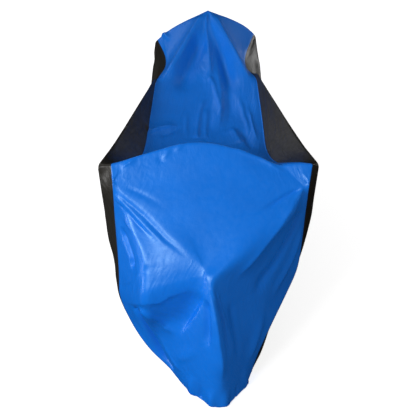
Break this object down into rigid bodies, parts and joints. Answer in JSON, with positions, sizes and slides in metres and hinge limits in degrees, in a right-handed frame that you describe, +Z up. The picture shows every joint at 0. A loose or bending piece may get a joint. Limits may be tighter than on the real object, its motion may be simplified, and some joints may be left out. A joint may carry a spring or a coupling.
{
  "type": "motorcycle cover",
  "caption": "Fitted fabric cover draped as if over a standing motorcycle, with a blue centre panel and black side panels, to keep rain and dust off.",
  "frame": {"origin": "on the ground, under the middle of the cover's length and width", "axes": "+Z up, +Y from the front wheel end to the rear end, +X to the right as seen by someone facing the front end"},
  "size_m": [1.045, 2.098, 1.1551],
  "materials": {
    "blue_taffeta": "coated, semi-gloss",
    "black_taffeta": "coated, semi-gloss"
  },
  "bodies": {
    "root": {"centre_panel": "blue_taffeta", "left_side_panel": "black_taffeta", "right_side_panel": "black_taffeta"}
  },
  "joints": []
}
